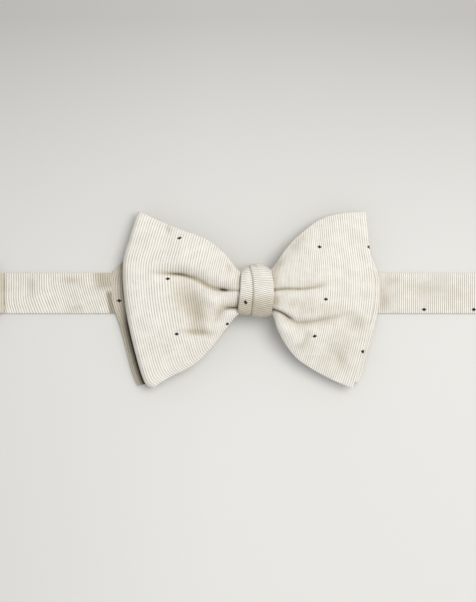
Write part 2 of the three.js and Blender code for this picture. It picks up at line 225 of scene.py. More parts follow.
def loft(rings):
    """Points and faces of a closed form through equal rings of points, capped at both ends."""
    rings = np.asarray(rings)
    ids = np.arange(rings[..., 0].size).reshape(rings.shape[:2])
    a, b = ids[:-1], ids[1:]
    sides = np.stack([a, np.roll(a, -1, 1), np.roll(b, -1, 1), b], 2).reshape(-1, 4)
    return rings.reshape(-1, 3), [*sides.tolist(), ids[0, ::-1].tolist(), ids[-1].tolist()]


def joined(parts):
    """Several meshes, given as vertices and faces, as one."""
    verts, faces = [], []
    for part_verts, part_faces in parts:
        base = sum(len(v) for v in verts)
        verts.append(part_verts)
        faces += [tuple(base + k for k in face) for face in part_faces]
    return np.vstack(verts), faces


PROUD = 0.35


def closed_sheet(name, middle, cloth, half, flip=False):
    """A closed cloth round a grid of points, most of its thickness below the grid.
    cloth has three values for each point: along, across and the tan, mostly painted shade."""
    n, m, _ = middle.shape
    normal = grid_normals(middle) * (-1 if flip else 1)
    upper = middle + normal * half[..., None] * PROUD
    lower = middle - normal * half[..., None] * (2 - PROUD)
    rim = half < 1e-6
    free = ~rim
    top_id = np.arange(n * m).reshape(n, m)
    low_id = np.where(rim, top_id, 0)
    low_id[free] = n * m + np.arange(free.sum())
    verts = np.vstack([upper.reshape(-1, 3), lower[free]])
    q = [top_id[:-1, :-1], top_id[1:, :-1], top_id[1:, 1:], top_id[:-1, 1:]]
    r = [low_id[:-1, :-1], low_id[:-1, 1:], low_id[1:, 1:], low_id[1:, :-1]]
    if flip:
        q, r = q[::-1], r[::-1]
    faces = np.vstack([np.stack([k.ravel() for k in q], 1), np.stack([k.ravel() for k in r], 1)])
    values = np.vstack([cloth.reshape(-1, 3), cloth[free]])
    return mesh_piece(name, verts, faces.tolist(), values)


def rounded(distance, radius):
    """A quarter circle: 0 at an edge, 1 from a radius away."""
    t = np.clip(distance / radius, 0, 1)
    return np.sqrt(np.clip(1 - (1 - t) ** 2, 0, 1))


def rim_taper(us_mm, vs_mm, half, radius):
    """Half thickness over a grid, rounding to nothing at all four edges."""
    across = rounded(np.minimum(vs_mm, vs_mm[:, -1:] - vs_mm), radius)
    lengthways = rounded(np.minimum(us_mm, us_mm[-1:] - us_mm), radius)
    thickness = half * across * lengthways
    thickness[[0, -1]] = 0
    thickness[:, [0, -1]] = 0
    return thickness


def arc_lengths(points):
    """Distances along rows and along columns of a grid of points."""
    steps = [np.diff(points, axis=axis, prepend=points.take([0], axis)) for axis in (0, 1)]
    return [np.cumsum(np.linalg.norm(step, axis=2), axis) for axis, step in enumerate(steps)]


# ---- materials

DOT_ALONG = 1.14
DOT_ACROSS = 0.92
WARP_PITCH = 0.27
RIB_HEIGHT = 0.16
WARP_HEIGHT = 0.008
FLECK_HEIGHT = 0.05
CREAM = (0.912, 0.872, 0.808, 1)
GROOVE_SHADE = (0.530, 0.498, 0.430, 1)
TAN_AND_SHADE = (0.625, 0.585, 0.490, 1)
DEEP_FOLD_SHADOW = (0.030, 0.022, 0.014, 1)
DOT_BLACK = (0.010, 0.011, 0.016, 1)
WHITE = (1, 1, 1, 1)


class Nodes:
    """A new material and short hand for building its node tree."""

    def __init__(self, name):
        self.material = bpy.data.materials.new(name)
        self.material.use_nodes = True
        self.tree = self.material.node_tree
        self.tree.nodes.clear()

    def add(self, kind, inputs=(), **settings):
        node = self.tree.nodes.new(kind)
        for key, value in settings.items():
            setattr(node, key, value)
        for key, value in dict(inputs).items():
            if isinstance(value, bpy.types.NodeSocket):
                self.tree.links.new(value, node.inputs[key])
            else:
                node.inputs[key].default_value = value
        return node

    def math(self, operation, a, b=0.0, clamp=False):
        node = self.add("ShaderNodeMath", {0: a, 1: b}, operation=operation, use_clamp=clamp)
        return node.outputs[0]

    def vector(self, operation, a, b=(0.0, 0.0, 0.0)):
        node = self.add("ShaderNodeVectorMath", {0: a, 1: b}, operation=operation)
        return node.outputs["Value"] if operation in ("DOT_PRODUCT", "LENGTH") else node.outputs[0]

    def mix(self, factor, a, b, blend="MIX"):
        node = self.add("ShaderNodeMix", {0: factor, 6: a, 7: b}, data_type="RGBA", blend_type=blend)
        return node.outputs[2]

    def noise(self, place, scale, detail=2.0, roughness=0.5):
        """Noise with its own scale in each direction."""
        place = self.vector("MULTIPLY", place, scale)
        inputs = {"Vector": place, "Scale": 1.0, "Detail": detail, "Roughness": roughness}
        return self.add("ShaderNodeTexNoise", inputs).outputs["Fac"]

    def remap(self, value, low, high, out_low=0.0, out_high=1.0):
        inputs = {"Value": value, "From Min": low, "From Max": high, "To Min": out_low, "To Max": out_high}
        return self.add("ShaderNodeMapRange", inputs, clamp=True).outputs[0]

    def surface(self, **inputs):
        shader = self.add("ShaderNodeBsdfPrincipled", {k.replace("_", " "): v for k, v in inputs.items()})
        out = self.add("ShaderNodeOutputMaterial")
        self.tree.links.new(shader.outputs[0], out.inputs[0])


def silk(name, dots=(), pitch=1.0, contrast=1.0):
    """Ribbed silk, its ribs pitch mm apart, with small woven lozenges at places on the cloth."""
    n = Nodes(name)
    cloth = n.add("ShaderNodeAttribute", attribute_name="cloth_mm").outputs["Vector"]
    split = n.add("ShaderNodeSeparateXYZ", {0: cloth})
    s, t, tan_and_painted_shade = split.outputs
    wander = n.noise(cloth, (0.05, 0.03, 0.0), 1.0)
    slub = n.noise(cloth, (0.9, 0.06, 0.0), 3.0, 0.6)
    phase = n.math("ADD", n.math("DIVIDE", s, pitch), n.math("MULTIPLY", wander, 1.2))
    phase = n.math("ADD", phase, n.math("MULTIPLY", slub, 0.18))
    cord = n.math("ABSOLUTE", n.math("SINE", n.math("MULTIPLY", phase, math.pi)))
    cord = n.math("POWER", cord, 0.85)
    warp = n.math("SINE", n.math("MULTIPLY", t, 2 * math.pi / WARP_PITCH))
    fleck = n.noise(cloth, (2.4, 1.6, 0.0), 2.0, 0.7)
    cloudy = n.noise(cloth, (0.07, 0.05, 0.0), 2.0)
    worn = n.noise(cloth, (0.16, 0.22, 0.0), 2.0, 0.6)
    # Painted shade in the grooves between the ribs; worn only varies, in patches, how strong that painted
    # shade is.
    groove_shade_strength = n.remap(worn, 0.35, 0.65, 1.15 * contrast, 0.55 * contrast)
    ridge = n.math("SUBTRACT", 1.0, n.math("MULTIPLY", groove_shade_strength, n.remap(cord, 0.08, 0.92, 1.0, 0.0)))
    colour = n.mix(ridge, GROOVE_SHADE, CREAM)
    shade = n.math("MULTIPLY", n.remap(slub, 0.3, 0.7, 0.94, 1.04), n.remap(cloudy, 0.3, 0.7, 0.97, 1.02))
    shade = n.math("MULTIPLY", shade, n.remap(fleck, 0.25, 0.75, 0.96, 1.03))
    grey = n.add("ShaderNodeCombineXYZ", {0: shade, 1: shade, 2: shade}).outputs[0]
    colour = n.vector("MULTIPLY", colour, grey)
    # The third cloth value, up to 1, multiplies in the tan: a little even tone, the rest painted shade.
    shaded_tan = n.mix(n.math("MINIMUM", tan_and_painted_shade, 1.0), WHITE, TAN_AND_SHADE)
    colour = n.mix(1.0, colour, shaded_tan, "MULTIPLY")
    # Above 1 it paints the black shadow inside deep folds and slits.
    colour = n.mix(n.math("SUBTRACT", tan_and_painted_shade, 1.0, clamp=True), colour, DEEP_FOLD_SHADOW)
    height = n.math("ADD", n.math("MULTIPLY", cord, RIB_HEIGHT), n.math("MULTIPLY", warp, WARP_HEIGHT))
    height = n.math("ADD", height, n.math("MULTIPLY", fleck, FLECK_HEIGHT))
    nearest = None
    for ds, dt in dots:
        away = n.vector("ABSOLUTE", n.vector("SUBTRACT", cloth, (ds, dt, 0.0)))
        measure = n.vector("DOT_PRODUCT", away, (1 / DOT_ALONG, 1 / DOT_ACROSS, 0.0))
        nearest = measure if nearest is None else n.math("MINIMUM", nearest, measure)
    if nearest is not None:
        ragged = n.math("ADD", nearest, n.math("MULTIPLY", warp, 0.06))
        mask = n.remap(ragged, 0.92, 1.10, 1.0, 0.0)
        colour = n.mix(mask, colour, DOT_BLACK)
        height = n.math("ADD", height, n.math("MULTIPLY", mask, 0.06))
    bump = n.add("ShaderNodeBump", {"Strength": 0.8, "Distance": MM, "Height": height})
    n.surface(Base_Color=colour, Roughness=n.remap(cord, 0.0, 1.0, 0.72, 0.56), Normal=bump.outputs[0],
              Specular_IOR_Level=0.35, Sheen_Weight=0.20, Sheen_Roughness=0.45,
              Sheen_Tint=(1.0, 0.97, 0.92, 1))
    return n.material


def cloth_at(middle, cloth, places, rows=slice(None)):
    """The cloth coordinates of the points of a ply that lie under the given places."""
    found = []
    for px, py in places:
        away = (middle[rows, :, 0] - px) ** 2 + (middle[rows, :, 1] - py) ** 2
        i, j = np.unravel_index(np.argmin(away), away.shape)
        found.append(tuple(float(c) for c in cloth[rows][i, j, :2]))
    return found


DOT_SPACING = 23.4


def lattice(s_range, t_range, anchor):
    """Places of the woven dots on a square lattice through an anchor."""
    spots = []
    for i in range(-12, 13):
        for j in range(-3, 4):
            s = anchor[0] + i * DOT_SPACING
            t = anchor[1] + j * DOT_SPACING
            if s_range[0] < s < s_range[1] and t_range[0] < t < t_range[1]:
                spots.append((s, t))
    return spots


# ---- wings

HALF_CLOTH = HALF_TUBE - 0.1
HEM_RADIUS = 0.8
WING_LENGTH = 60
WAIST_CLOTH = 30
WING_CLOTH = 84


def wing_patch(bottom, top, outer, rows, columns):
    """The flat outline of a wing as a grid that is finer towards its edges."""
    inner = [bottom[0], top[0]]
    us = np.linspace(0, 1, rows)
    us = 0.25 * us + 0.75 * np.sin(us * math.pi / 2)
    vs = edge_spaced(columns, 0.8)
    flat = coons(spline(bottom), spline(top), spline(inner), spline(outer), us, vs)
    return us, vs, flat[..., 0], flat[..., 1]


def profile_at(u, knots):
    """A smooth height along a wing through given (u, height) pairs."""
    curve = spline(knots, 160)
    return np.interp(u, curve[:, 0], curve[:, 1])


def dome(u, v, middle_knots, edge_knots, power=2.4):
    """Height of a ply: one profile along the middle and a lower one along its edges."""
    middle = profile_at(u, middle_knots)[:, None]
    edge = profile_at(u, edge_knots)[:, None]
    return edge + (middle - edge) * (1 - np.abs(2 * v[None] - 1) ** power)


def wing_cloth(us, vs, tan_and_painted_shade, length=WING_LENGTH):
    """Cloth coordinates of a ply: distance from the knot, place across the strip, and the tan, mostly
    painted shade.
    """
    across = WAIST_CLOTH + (WING_CLOTH - WAIST_CLOTH) * smooth(us / 0.8)
    s = np.broadcast_to((us * length)[:, None], (len(us), len(vs)))
    t = (vs[None] - 0.5) * across[:, None]
    return np.stack([s, t, tan_and_painted_shade], axis=2)


def folded(x, y, front_z, back_z, fold_z, radius, cloth, length):
    """Two plies joined by a rounded fold at the outer edge, as one grid."""
    lengthways, _ = arc_lengths(np.stack([x, y, 0 * x], axis=2))
    rounding = rounded(lengthways[-1:] - lengthways, radius)
    front = np.stack([x, y, fold_z + (front_z - fold_z) * rounding], 2)
    back = np.stack([x, y, fold_z + (back_z - fold_z) * rounding], 2)

    def turned(ply):
        """Cloth taken up by the fold, beyond the flat distance, up to each point."""
        longer = np.diff(arc_lengths(ply)[0] - lengthways, axis=0, prepend=0)
        return np.cumsum(np.where(rounding < 1, longer, 0), axis=0)

    near, behind = turned(front), turned(back)
    far = cloth[:-1][::-1].copy()
    far[..., 0] = 2 * length - far[..., 0] + near[-1] + (behind[-1] - behind[:-1])[::-1]
    # The ply behind carries an even 0.3 of the tan.
    far[..., 2] = 0.3
    cloth = cloth.copy()
    cloth[..., 0] += near
    return np.concatenate([front, back[:-1][::-1]]), np.concatenate([cloth, far])


def wing(name, middle, cloth, flip=False):
    """A wing as closed cloth round its grid of points, rounded off at its hems."""
    lengths, widths = arc_lengths(middle)
    half = rim_taper(lengths, widths, HALF_CLOTH, HEM_RADIUS)
    return closed_sheet(name, middle, cloth, half, flip)


FRONT_LOOP_EDGE = [(-48.6, -45.9), (-52.4, -42.3), (-56.4, -29.3), (-59.9, -14.2), (-61.9, -0.4),
                   (-62.2, 13.5), (-59.3, 24.5), (-56, 35.2), (-54.9, 37.6)]
LOOP_UPPER_CREASE = [(-56, 9), (-45, 8.2), (-35.5, 7.8), (-30.8, 6.6), (-26.1, 4.6), (-21.4, 1.9),
                     (-17, 0.7), (-6, 0)]
LOOP_UPPER_FOLD = [(-47, 8.3), (-40.5, 8.2), (-35.5, 7.8), (-30.8, 6.6), (-25.5, 4.4)]
LOOP_LOWER_CREASE = [(-21, -18), (-18.1, -13.6), (-15.7, -9.9), (-13.5, -8.2), (-6, -7.8)]


FRONT_LOOP_CREASES = [
    (-2.5, LOOP_UPPER_CREASE, 3.2, 5, (0.6, 0.25)),
    (-1.3, LOOP_UPPER_CREASE, 1.1, 0.9, (0.5, 0.35)),
    (-0.8, [(-16, 0.5), (-11, 0.2), (-6, 0)], 0.5, 0.5, (0.1, 0.01)),
    (-2.4, LOOP_LOWER_CREASE, 5, 1.8, (0.5, 0.01)),
    (-2.5, [(-15.4, -8.8), (-13, -8), (-6, -7.8)], 0.7, 0.7, (0.25, 0.01)),
    (-1.4, [(-36, -19), (-30, -19), (-21.5, -19.4)], 2.6, 1.6, (0.5, 0.3)),
]
FRONT_LOOP_FORMS = [
    (-2, -15.5, 0.6, 2.6, 0.9, -8),  # the upper crease, deepest beside the knot
    (-2.6, -30.6, -4, 8.4, 5.4, -54),  # the hollow in the middle of the wing
    (-0.4, -40.9, 28.5, 3, 3),  # two dents near the upper edge
    (-0.7, -12.6, 11, 2.4, 2.4),
    (1.7, -20.8, -4, 6, 3.6, -30),  # the lobe between the hollow and the knot
    (1.2, -24, -26.5, 11, 5.5, 48),  # swells below, above and outside the creases
    (1, -33, 17, 15, 7, 24),
    (0.8, -44, -2, 9, 8),
]
# Painted shade along the creases, each as height, points, widths to left and right, and fade.
FRONT_LOOP_SHADED_CREASES = [
    (0.3, LOOP_UPPER_CREASE, 3.6, 1, (0.45, 0.01)),
    (1, LOOP_UPPER_CREASE, 0.95, 0.8, (0.6, 0.3)),
    (0.8, LOOP_LOWER_CREASE, 2.8, 0.6, (0.5, 0.2)),
]
# Painted shade in the hollows and dents and along the fold, each as height, x, y, two radii and a turn.
FRONT_LOOP_SHADE_PATCHES = [
    (-0.08, -48, -4, 12, 16),  # less painted shade towards the fold
    (0.72, -31.5, -4.5, 10, 6.6, -54),  # the hollow and the fold below it
    (0.5, -26.5, -12, 6, 3.6, -80),
    (1, -27.5, -19.3, 6.5, 1.5, -4),
    (0.5, -40.9, 29.3, 1.5, 2.4, 10),  # the two dents
    (0.45, -12.4, 10.9, 1.3, 2.2, 20),
    (0.22, -60.5, -6, 2.5, 22, 4),  # along the fold itself
]
# Painted black shadow in the two slits beside the knot.
FRONT_LOOP_SLIT_SHADOWS = [
    (1.3, [(-15.4, 0.5), (-11, 0.2), (-6, 0)], 0.22, 0.22, (0.1, 0.01)),
    (1.9, [(-14.2, -8.2), (-12, -7.9), (-6, -7.8)], 0.5, 0.5, (0.35, 0.01)),
]


def front_loop_tan_and_shade(x, y):
    """The tan painted on the front loop, nearly all painted shade: 1 is the full tan; above 1 paints the
    black shadow inside a deep fold.
    """
    tone = 0.08 + mounds(x, y, FRONT_LOOP_SHADE_PATCHES) + creases(x, y, FRONT_LOOP_SHADED_CREASES)
    # Painted shade where the loop goes under the knot.
    tone = np.clip(tone + 0.12 * smooth((x + 11.5) / 3), 0, 1)
    # A painted dark line along the upper fold.
    tone += 0.85 * crease(x, y, LOOP_UPPER_FOLD, 0.8, 0.7, (0.5, 0.5))
    slit = 2.4 * mound(x, y, -15.2, 0.55, 2.4, 0.85, -8) + creases(x, y, FRONT_LOOP_SLIT_SHADOWS)
    return np.maximum(tone, np.clip(slit, 0, 2))


def front_loop():
    bottom = [(-3, -9.5), (-8.3, -11.2), (-14.5, -18.6), (-20.8, -26.8), (-29, -34.7), (-41.6, -41.3),
              (-48.6, -45.9)]
    top = [(-3, 8.4), (-7.9, 9.6), (-14.5, 17.6), (-22.7, 24.2), (-35.5, 29.1), (-46, 33.4), (-54.9, 37.6)]
    us, vs, x, y = wing_patch(bottom, top, FRONT_LOOP_EDGE, 130, 170)
    z = dome(us, vs,
             [(0, 14), (0.06, 14.9), (0.09, 16.6), (0.13, 17.1), (0.3, 16.4), (0.55, 15.2),
              (0.8, 13.2), (1, 11.2)],
             [(0, 11.6), (0.12, 12.8), (0.5, 10.2), (1, 8.6)])
    z += ripple(x, y, 11, 26, 0.15) + mounds(x, y, FRONT_LOOP_FORMS) + creases(x, y, FRONT_LOOP_CREASES)
    low = dome(us, vs, [(0, 8.8), (0.3, 6.6), (0.7, 5), (1, 4.2)], [(0, 8.4), (0.3, 6.4), (1, 4.2)])
    low += ripple(x, y, 3, 34, 0.3)
    fold_z = 6.6 - 0.9 * np.abs(2 * vs - 1)[None] ** 2
    cloth = wing_cloth(us, vs, front_loop_tan_and_shade(x, y))
    middle, coords = folded(x, y, z, low, fold_z, 2.3, cloth, WING_LENGTH)
    piece = wing("front_bow_loop", middle, coords, flip=True)
    seen = [(-35.5, 24.8), (-40.9, 5.4), (-36.9, -20.4), (-13.2, -15.3)]
    spots = cloth_at(middle, coords, seen, slice(0, len(us)))
    behind = lattice((WING_LENGTH + 4, 2 * WING_LENGTH - 6), (-38, 38), (WING_LENGTH + 14, 9))
    return dressed(piece, silk("ribbed_silk_front_loop", spots + behind, 1.17, 1))


TIP_UPPER_CREASE = [(5, 0), (13.9, 0.9), (20.9, 0.9), (26.6, 1.4), (30.5, 2.2), (34, 3)]
TIP_LOWER_SLIT = [(5, -7.8), (7.6, -8.2), (10.5, -9.1), (12.9, -10.2), (15.8, -12.1), (18.9, -14.4)]
TIP_LOWER_CREASE = [*TIP_LOWER_SLIT, (23.5, -14.4), (28.2, -13.8), (34, -12.8), (40, -11.5), (48, -8)]
TIP_LOW_DIMPLE = [(25.5, -17.5), (24.2, -20.5), (22.5, -25), (18.5, -28.5)]


FRONT_TIP_CREASES = [
    (-1.2, TIP_UPPER_CREASE, 4.5, 2.2, (0.01, 0.45)),
    (-1, TIP_UPPER_CREASE, 0.8, 0.7, (0.01, 0.6)),
    (-2.6, TIP_LOWER_SLIT, 0.5, 1, (0.01, 0.25)),
    (-1.5, TIP_LOWER_CREASE, 1.6, 5, (0.35, 0.5)),
    (-1.2, TIP_LOW_DIMPLE, 2.6, 1.8, (0.3, 0.3)),
    (-0.7, [(33, -2.6), (45, -4), (56, -4.7)], 2.5, 3, (0.4, 0.01)),
]
FRONT_TIP_FORMS = [
    (2.6, 13.5, -18, 8.5, 4.6, -52),  # the leaf below the lower crease
    (1, 30, 14, 13, 7, 30),  # the swell above the upper crease
    (-0.9, 48.5, -16.5, 6, 4, -20),  # hollows towards the outer and upper edges
    (-0.9, 40.2, -32.5, 3.5, 5.5, 30),
    (-1, 18.5, 21.5, 2.6, 5, -40),
]
# Painted shade along the creases, each as height, points, widths to left and right, and fade.
FRONT_TIP_SHADED_CREASES = [
    (0.25, TIP_UPPER_CREASE, 2.4, 0.8, (0.01, 0.3)),
    (1, TIP_UPPER_CREASE, 0.7, 0.6, (0.01, 0.4)),
    (0.5, TIP_LOWER_CREASE, 1.1, 2.8, (0.35, 0.5)),
    (0.42, TIP_LOW_DIMPLE, 2.2, 1.4, (0.3, 0.25)),
]
# Painted shade in the hollows, along the upper edge, under the knot and between the creases, each as height,
# x, y, two radii and a turn.
FRONT_TIP_SHADE_PATCHES = [
    (0.4, 31, 2.8, 3.6, 1.5, 12),  # the end of the upper crease
    (0.34, 49, -15.5, 6.5, 4, -35),  # the hollows towards the outer edge
    (0.3, 40.2, -31.8, 2.8, 5.6, 18),
    (0.2, 42, -24, 9, 9),
    (0.3, 34, -9.5, 12, 4),
    (0.2, 36, -33, 9, 5, -35),
    (0.4, 19, 22, 2.2, 5.5, -42),  # along the upper edge
    (0.6, 11, 12.4, 1.8, 3.6, -35),
    (0.9, 9.6, -4.5, 1.6, 2.8),  # where the cloth goes under the knot
    (0.4, 9.6, 6, 1.5, 4),
    (0.34, 19, -6, 8, 3.6, -8),  # the lobe between the creases
    (-0.15, 14, -19, 7, 4, -52),  # less painted shade on the leaf
]
# Painted black shadow in the narrow lower gap and along the upper crease.
FRONT_TIP_SLIT_SHADOWS = [
    (2, TIP_LOWER_SLIT, 0.35, 0.5, (0.01, 0.3)),
    (1.5, TIP_UPPER_CREASE, 0.42, 0.36, (0.01, 0.45)),
]


def front_tip_tan_and_shade(x, y):
    """The tan painted on the front tip, nearly all painted shade: 1 is the full tan; above 1 paints the
    black shadow inside a deep fold.
    """
    tone = 0.1 + mounds(x, y, FRONT_TIP_SHADE_PATCHES) + creases(x, y, FRONT_TIP_SHADED_CREASES)
    # Painted shade where the tip goes under the knot.
    tone = np.clip(tone + 0.12 * smooth((11.5 - x) / 3), 0, 1)
    return np.maximum(tone, np.clip(creases(x, y, FRONT_TIP_SLIT_SHADOWS), 0, 2))


def front_tip():
    bottom = [(3, -9.2), (7.6, -10.6), (10.4, -18), (14.6, -25.8), (21.1, -33), (33.6, -40.6),
              (45.7, -45.9)]
    top = [(3, 8.8), (7.8, 10.6), (14.8, 20.4), (21.1, 26.8), (30, 33.4), (39.5, 36.4), (52, 37.5)]
    outer = [(45.7, -45.9), (50.1, -32.4), (53.8, -16.9), (55.6, -2.4), (55.2, 10), (53.5, 22.3),
             (52, 37.5)]
    us, vs, x, y = wing_patch(bottom, top, outer, 130, 170)
    z = dome(us, vs,
             [(0, 14), (0.06, 14.9), (0.1, 16.6), (0.14, 16.9), (0.3, 15.9), (0.55, 14),
              (0.8, 11.4), (1, 9.4)],
             [(0, 11.6), (0.12, 12.4), (0.5, 9.4), (1, 7.6)])
    z += ripple(x, y, 23, 28, 0.15) + mounds(x, y, FRONT_TIP_FORMS) + creases(x, y, FRONT_TIP_CREASES)
    z += 1.9 * step(x, y, TIP_LOWER_CREASE, 0.6, 9, (0.01, 0.6))
    middle = np.stack([x, y, z], axis=2)
    coords = wing_cloth(us, vs, front_tip_tan_and_shade(x, y))
    piece = wing("front_bow_tip", middle, coords)
    seen = [(30.2, 20.4), (53.6, 20.7), (32.8, -4.1), (27.7, -21.3), (50.6, -28.7)]
    return dressed(piece, silk("ribbed_silk_front_tip", cloth_at(middle, coords, seen), 1.03, 1.05))


REAR_TIP_LENGTH = 66


def rear_tip():
    bottom = [(-3, -7), (-10, -10), (-20, -22), (-32, -34), (-45, -41.5), (-55.6, -44.9)]
    top = [(-3, 6.6), (-12, 12), (-26, 22), (-40, 28.5), (-51.5, 31)]
    outer = [(-55.6, -44.9), (-58.3, -38.1), (-60.6, -29.9), (-64.2, -16), (-66.9, -8.5), (-68.1, -2.5),
             (-68.3, 3.5), (-67.2, 9.4), (-62.1, 15.2), (-51.5, 31)]
    us, vs, x, y = wing_patch(bottom, top, outer, 90, 110)
    z = dome(us, vs, [(0, 6.2), (0.3, 4.2), (0.7, 2.6), (1, 1.6)], [(0, 6), (0.3, 4), (1, 1.6)])
    z += ripple(x, y, 31, 30, 0.25)
    middle = np.stack([x, y, z], axis=2)
    # The rear tip is painted in shade all over, darkest in a painted shadow along the front loop's edge and
    # towards its lower end, black above 1.
    shaded = 0.65 + 0.85 * crease(x, y, FRONT_LOOP_EDGE, 2.2, 2.2, (0, 0))
    shaded += 0.65 * crease(x, y, FRONT_LOOP_EDGE, 5, 5, (0, 0.4)) * smooth((-6 - y) / 12)
    coords = wing_cloth(us, vs, shaded, REAR_TIP_LENGTH)
    piece = wing("rear_bow_tip", middle, coords, flip=True)
    anchor = cloth_at(middle, coords, [(-64.3, -4.7)])[0]
    spots = [anchor, *lattice((6, 50), (-38, 38), anchor)]
    return dressed(piece, silk("ribbed_silk_rear_tip", spots, 1.1))


def rear_loop():
    bottom = [(3, -7), (10, -10), (20, -22), (32, -34), (41, -40), (48.6, -43.6)]
    top = [(3, 6.6), (12, 12), (24, 22), (36, 28.5), (46, 31)]
    outer = [(48.6, -43.6), (50.4, -38.1), (53.2, -28.1), (55.4, -19.7), (57.8, -10.5), (58.7, -0.9),
             (58.3, 7), (56.3, 13), (51.5, 23.5), (46, 31)]
    us, vs, x, y = wing_patch(bottom, top, outer, 80, 100)
    high = dome(us, vs, [(0, 8), (0.3, 6.8), (0.7, 6.2), (1, 6)], [(0, 7.6), (0.3, 6.4), (1, 5.6)])
    low = dome(us, vs, [(0, 6.1), (0.3, 4.2), (0.7, 3.1), (1, 2.7)], [(0, 5.9), (0.3, 4), (1, 2.6)])
    high += ripple(x, y, 41, 30, 0.15)
    low += ripple(x, y, 43, 30, 0.15)
    cloth = wing_cloth(us, vs, 0.12 + 0 * x)
    middle, coords = folded(x, y, high, low, 4.3, 2.2, cloth, WING_LENGTH)
    piece = wing("rear_bow_loop", middle, coords)
    spots = lattice((64, 116), (-38, 38), (76, 4))
    return dressed(piece, silk("ribbed_silk_rear_loop", spots, 1.03))


# ---- bands and straps

STRAP = 0.9
STRAP_INSET = 0.15


def strip(name, path, y0, y1, half, rows, columns=56, tan_and_painted_shade=None, sway=None):
    """A flat strip of cloth whose middle follows [x, z] points, from y0 to y1."""
    curve = spline(path, rows)
    vs = edge_spaced(columns, 0.85)
    x = np.repeat(curve[:, :1], columns, 1)
    z = np.repeat(curve[:, 1:], columns, 1)
    y = np.repeat((y0 + (y1 - y0) * vs)[None], rows, 0)
    middle = np.stack([x, y, z], axis=2)
    lengths, widths = arc_lengths(middle)
    along_cloth = lengths if sway is None else lengths + sway(x, y)
    tan_shade = 0 * x if tan_and_painted_shade is None else tan_and_painted_shade(x, y)
    coords = np.stack([along_cloth, y, tan_shade], axis=2)
    flip = curve[-1, 0] < curve[0, 0]
    centred = middle + grid_normals(middle) * (-1 if flip else 1) * half * (1 - PROUD)
    piece = closed_sheet(name, centred, coords, rim_taper(lengths, widths, half, half * 1.2), flip=flip)
    return piece, middle, coords


def left_band():
    def sway(x, y):
        """The ribs lean over below a height that rises towards the bow."""
        below = (-5 + 9 * smooth((x + 115) / 25) - y) / 1.2
        return -0.33 * 1.2 * np.log1p(np.exp(np.clip(below, -30, 30)))

    def tan_and_painted_shade(x, y):
        """Darker in patches; painted shade near the bow and at the end by the adjuster, and a painted shadow
        beside the rear tip, black at its core.
        """
        tone = 0.15 + 0.72 * smooth((x + 79) / 6) * smooth((y + 1) / 4)
        tone += mounds(x, y, [(0.45, -87, 5.0, 4.0, 2.2), (0.45, -106, 3.0, 1.6, 5.0),
                              (0.30, -85, -8.2, 4.0, 1.8)])
        tone += 0.30 * smooth((-117 - x) / 2)
        shadow = 1.34 * smooth((x + 72.0 + 0.17 * (y - 1)) / 1.6) * smooth((2.2 - y) / 4.0)
        return np.maximum(np.clip(tone, 0, 1), shadow)

    path = [(BAND_LOW[0], HALF_TUBE), (-60, HALF_TUBE), (0, HALF_TUBE), (BAND_HIGH[0], HALF_TUBE)]
    piece, _, _ = strip("neckband_left", path, BAND_Y0, BAND_Y1, HALF_TUBE - 0.05, 300, 56, tan_and_painted_shade, sway)
    return dressed(piece, silk("ribbed_silk_left_band", pitch=1.11, contrast=1.5))


def right_band_tone(x, y):
    # Darker in patches.
    return 0.10 + mounds(x, y, [(0.45, 61.5, -4.0, 2.6, 5.0), (0.25, 80.0, 1.0, 7.0, 3.0),
                                (0.20, 93.0, -1.0, 6.0, 5.0), (0.30, 66.0, 5.0, 4.0, 2.5)])


def right_band():
    low, high = box_mm("right_band_face")
    crossed = high[2] - HALF_TUBE
    path = [(low[0], crossed), (0, crossed), (10, crossed - 0.1), (14, (crossed + HALF_TUBE) / 2),
            (18, HALF_TUBE + 0.1), (30, HALF_TUBE), (100, HALF_TUBE), (high[0], HALF_TUBE)]
    piece, middle, coords = strip("neckband_right", path, BAND_Y0, BAND_Y1, HALF_TUBE - 0.05, 360, 56,
                                  right_band_tone)
    dots = [(x, -8.8) for x in np.arange(56.8, high[0] - 3, DOT_SPACING)]
    return dressed(piece, silk("ribbed_silk_right_band", cloth_at(middle, coords, dots), 0.965, 1.6))


def strap(name, path, rows, tan_and_painted_shade=None):
    """A single layer of strap silk, a little narrower than the band."""
    y0, y1 = BAND_Y0 + STRAP_INSET, BAND_Y1 - STRAP_INSET
    piece, _, _ = strip(name, path, y0, y1, STRAP / 2, rows, 36, tan_and_painted_shade)
    return dressed(piece, silk("ribbed_silk_" + name))


ADJUSTER_LOW, ADJUSTER_HIGH = box_mm("adjuster_frame")
ADJUSTER_X = (ADJUSTER_LOW[0] + ADJUSTER_HIGH[0]) / 2
ADJUSTER_Z = (ADJUSTER_LOW[2] + ADJUSTER_HIGH[2]) / 2
ADJUSTER_HALF = (ADJUSTER_HIGH[0] - ADJUSTER_LOW[0]) / 2
BAR = 2.0
SLOT = 4.5
PLATE = ADJUSTER_HIGH[2] - ADJUSTER_LOW[2]
STRAP_GAP = 0.2
PIN = 1.4
FOLD_R = PIN / 2 + STRAP_GAP + STRAP / 2
FOLD_LENGTH = 8.0
RUN_START_X = HOOK_PIN[0] + FOLD_LENGTH + 0.1
RUN_END_X = ADJUSTER_LOW[0] - 1.6


def strap_tab():
    """The sewn end of the left band: one flat layer that lies under the adjuster."""
    end = BAND_LOW[0]
    path = [(end + 2.5, HALF_TUBE), (end - 0.4, 0.50), (ADJUSTER_X + 4, 0.50), (ADJUSTER_X - 9.6, 0.50)]
    return strap("strap_tab", path, 60)


